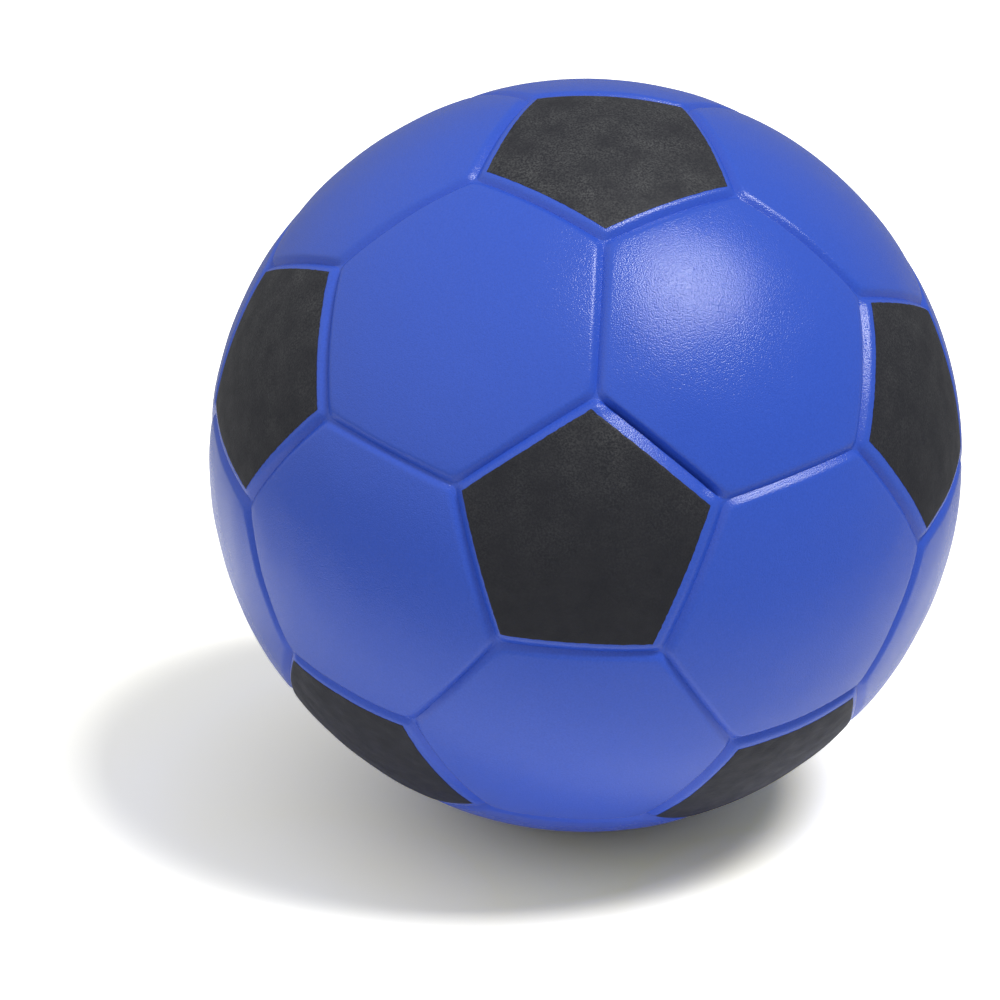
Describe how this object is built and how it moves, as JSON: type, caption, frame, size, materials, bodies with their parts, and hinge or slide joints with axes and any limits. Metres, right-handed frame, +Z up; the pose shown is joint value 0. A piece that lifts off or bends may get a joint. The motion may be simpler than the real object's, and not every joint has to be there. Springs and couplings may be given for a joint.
{
  "type": "foam ball",
  "caption": "Soft moulded foam play ball: a foam core in a dense blue skin with rounded seam grooves in the classic pentagon and hexagon pattern, the pentagons sprayed black.",
  "frame": {"origin": "centre of the ball", "axes": "+Z up as the ball lies on a floor, -Y towards the front pentagon, +X to the right seen from the front"},
  "size_m": [0.1998, 0.2006, 0.1998],
  "materials": {
    "blue_skin": "satin blue polyurethane skin with a fine moulded grain",
    "black_paint": "matte black flexible paint, slightly mottled",
    "foam": "cream open-cell polyurethane foam, matte"
  },
  "bodies": {
    "root": {"foam_core": "foam", "skin_front": "blue_skin", "skin_back": "blue_skin", "pentagon_front": "black_paint", "pentagon_top": "black_paint", "pentagon_left": "black_paint", "pentagon_lower_left": "black_paint", "pentagon_lower_right": "black_paint", "pentagon_right": "black_paint", "pentagon_back": "black_paint", "pentagon_back_bottom": "black_paint", "pentagon_back_right": "black_paint", "pentagon_back_upper_right": "black_paint", "pentagon_back_upper_left": "black_paint", "pentagon_back_left": "black_paint"}
  },
  "joints": []
}
